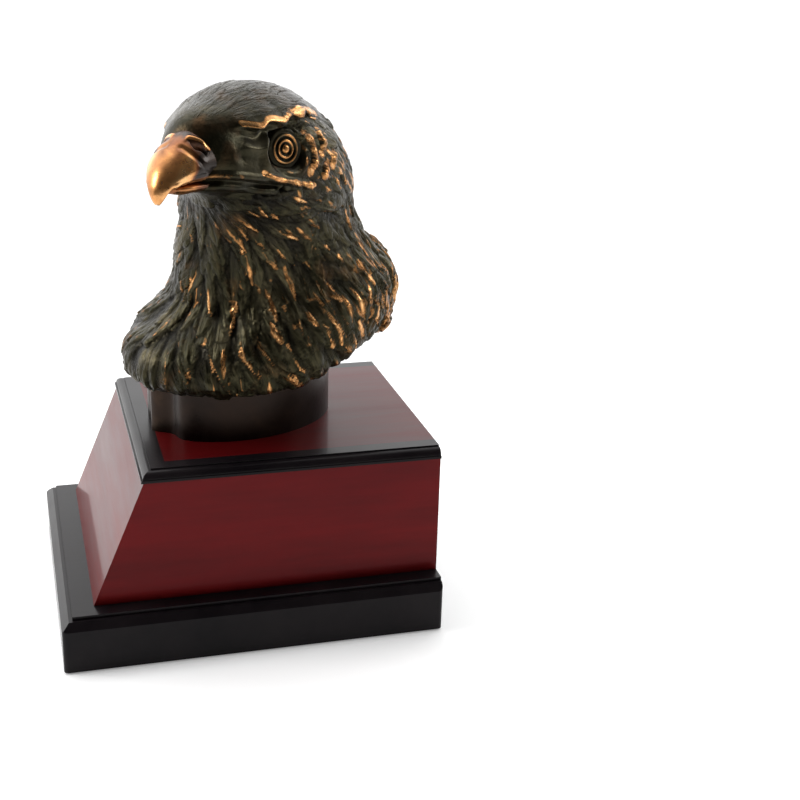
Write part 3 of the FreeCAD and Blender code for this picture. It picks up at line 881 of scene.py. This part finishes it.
rawWood = {
    "name": "raw pine", "colour": (0.5, 0.33, 0.17), "metal": 0.0, "rough": 0.7,
    "stretch": (1, 1, 0.08),
    "noise": (120.0, 5.0, 0.6, 0.8), "gloss": (0.6, 0.8), "bump": (0.3, 0.0005),
    "tones": [(0.3, (0.36, 0.21, 0.10)), (0.7, (0.62, 0.44, 0.25))],
}
platedSteel = {
    "name": "zinc plated steel", "colour": (0.55, 0.56, 0.58), "metal": 1.0, "rough": 0.3,
    "noise": (500.0, 4.0), "gloss": (0.22, 0.42), "bump": (0.1, 0.0002),
    "tones": [(0.3, (0.42, 0.43, 0.46)), (0.7, (0.66, 0.66, 0.64))],
}
castIron = {
    "name": "ballast iron", "colour": (0.06, 0.055, 0.05), "metal": 0.8, "rough": 0.6,
    "noise": (700.0, 5.0, 0.65), "gloss": (0.5, 0.8), "bump": (0.5, 0.0006),
    "tones": [(0.35, (0.035, 0.033, 0.032)), (0.6, (0.08, 0.07, 0.06)), (0.75, (0.16, 0.07, 0.03))],
}


def plainFinish(look):
    material, shader = newFinish(look["name"], look["colour"], look["metal"], look["rough"],
                                 **look.get("sockets", {}))
    place = stretched(material, look.get("stretch", (1, 1, 1)))
    noise = noiseAt(material, place, *look["noise"])
    wire(material, rampOf(material, noise, look["tones"]), shader.inputs["Base Color"])
    wire(material, spread(material, noise, 0.3, 0.7, *look["gloss"]), shader.inputs["Roughness"])
    if "fine" in look:
        place = stretched(material, look.get("fineStretch", (1, 1, 1)))
        noise = noiseAt(material, place, *look["fine"])
    bumpFrom(material, shader, noise, *look["bump"])
    return material


eagleFinish = antiqueBronze()
for piece in (plumagePiece, headPiece, leftEye, rightEye):
    piece.data.materials.append(eagleFinish)
beakFinish = beakBronze()
for piece in (upperBeak, lowerBeak):
    piece.data.materials.append(beakFinish)
footFinish = plainFinish(darkBronze)
corePiece.data.materials.append(footFinish)

black = plainFinish(blackLacquer)
steel = plainFinish(platedSteel)
nodeFinishes = {
    "felt_pad": plainFinish(feltCloth),
    "plinth_board": black,
    "book_side_panel": black,
    "front_moulding": black,
    "slope_moulding": black,
    "rear_moulding": black,
    # the slope and top panels are darker copies of the front's mahogany: their last number is painted
    # shade
    "front_panel": mahoganyLacquer("mahogany lacquer front", (0.12, 1, 1), 1.0),
    "slope_panel": mahoganyLacquer("mahogany lacquer slope painted shade", (1, 0.12, 1), 0.55),
    "top_panel": mahoganyLacquer("mahogany lacquer top painted shade", (0.12, 1, 1), 0.5),
    "corner_blocks": plainFinish(rawWood),
    "ballast_block": plainFinish(castIron),
    "foot_collar": footFinish,
}
nodeFinishes["rear_panel"] = nodeFinishes["front_panel"]
for screw in ("plinth_screws", "ballast_screws", "mounting_washers", "mounting_screws"):
    nodeFinishes[screw] = steel
for nodeName, finish in nodeFinishes.items():
    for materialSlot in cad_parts[nodeName].material_slots:
        materialSlot.material = finish
print("finishes done")

studio = {
    "floorHalf": 6.0, "floorColour": (0.86, 0.86, 0.86), "floorGlow": 0.25,
    "skyBack": 2.0, "skyFront": 0.05, "skyEdge": (-0.30, 0.50),
    "lampAim": (0, 0, 0.08),
    "lamps": [
        # name, place, size, watts
        ("lamp_left", (-0.62, 0.06, 0.48), 0.25, 2.7),
        ("lamp_top", (-0.10, 0.20, 0.75), 0.50, 1.5),
        ("lamp_right", (0.60, -0.10, 0.42), 0.20, 1.4),
    ],
}


def makeFloor():
    half = studio["floorHalf"]
    mesh = bpy.data.meshes.new("floor")
    corners = [(-half, -half, 0), (half, -half, 0), (half, half, 0), (-half, half, 0)]
    mesh.from_pydata(corners, [], [(0, 1, 2, 3)])
    floor = bpy.data.objects.new("floor", mesh)
    bpy.context.scene.collection.objects.link(floor)
    material, shader = newFinish("floor", studio["floorColour"], 0.0, 0.8)
    shader.inputs["Specular IOR Level"].default_value = 0.1
    shader.inputs["Emission Color"].default_value = (1, 1, 1, 1)
    shader.inputs["Emission Strength"].default_value = studio["floorGlow"]
    mesh.materials.append(material)


def makeLights():
    # a sky bright at the back and dark at the front, though what is seen of it stays white
    world = bpy.data.worlds.new("studio")
    bpy.context.scene.world = world
    world.use_nodes = True
    tree = world.node_tree
    background = tree.nodes["Background"]
    background.inputs["Color"].default_value = (1, 1, 1, 1)
    place = tree.nodes.new("ShaderNodeTexCoord")
    parts = tree.nodes.new("ShaderNodeSeparateXYZ")
    tree.links.new(place.outputs["Generated"], parts.inputs["Vector"])
    level = tree.nodes.new("ShaderNodeMapRange")
    level.interpolation_type = "SMOOTHSTEP"
    reach = (*studio["skyEdge"], studio["skyFront"], studio["skyBack"])
    for socket, value in zip(("From Min", "From Max", "To Min", "To Max"), reach):
        level.inputs[socket].default_value = value
    tree.links.new(parts.outputs["Y"], level.inputs["Value"])
    seen = tree.nodes.new("ShaderNodeLightPath")
    pale = tree.nodes.new("ShaderNodeMath")
    pale.operation = "MAXIMUM"
    tree.links.new(level.outputs["Result"], pale.inputs[0])
    tree.links.new(seen.outputs["Is Camera Ray"], pale.inputs[1])
    tree.links.new(pale.outputs[0], background.inputs["Strength"])
    aim = Vector(studio["lampAim"])
    for name, spot, size, watts in studio["lamps"]:
        lamp = bpy.data.lights.new(name, "AREA")
        lamp.energy = watts
        lamp.size = size
        holder = bpy.data.objects.new(name, lamp)
        holder.location = spot
        holder.rotation_euler = (aim - Vector(spot)).to_track_quat("-Z", "Y").to_euler()
        bpy.context.scene.collection.objects.link(holder)
    bpy.context.scene.view_settings.view_transform = "Standard"


camera = {
    "place": (-0.0715, -0.4473, 0.2389),
    "turn": -16.675,      # degrees from looking along +Y
    "tilt": 20.52,        # degrees down
    "roll": 1.81,
    "lens": 61.39, "nearest": 0.01,
}


def makeCamera():
    turn, tilt, roll = (math.radians(camera[key]) for key in ("turn", "tilt", "roll"))
    flat = Vector((-math.sin(turn), math.cos(turn), 0))
    right = Vector((math.cos(turn), math.sin(turn), 0))
    up = flat * math.sin(tilt) + Vector((0, 0, math.cos(tilt)))
    ahead = flat * math.cos(tilt) - Vector((0, 0, math.sin(tilt)))
    rightRolled = right * math.cos(roll) + up * math.sin(roll)
    upRolled = up * math.cos(roll) - right * math.sin(roll)
    lens = bpy.data.cameras.new("camera")
    lens.lens = camera["lens"]
    lens.clip_start = camera["nearest"]
    viewer = bpy.data.objects.new("camera", lens)
    columns = (rightRolled, upRolled, -ahead, Vector(camera["place"]))
    rows = [[column[i] for column in columns] for i in range(3)]
    viewer.matrix_world = Matrix(rows + [[0, 0, 0, 1]])
    bpy.context.scene.collection.objects.link(viewer)
    bpy.context.scene.camera = viewer


makeFloor()
makeLights()
makeCamera()
print("studio done")
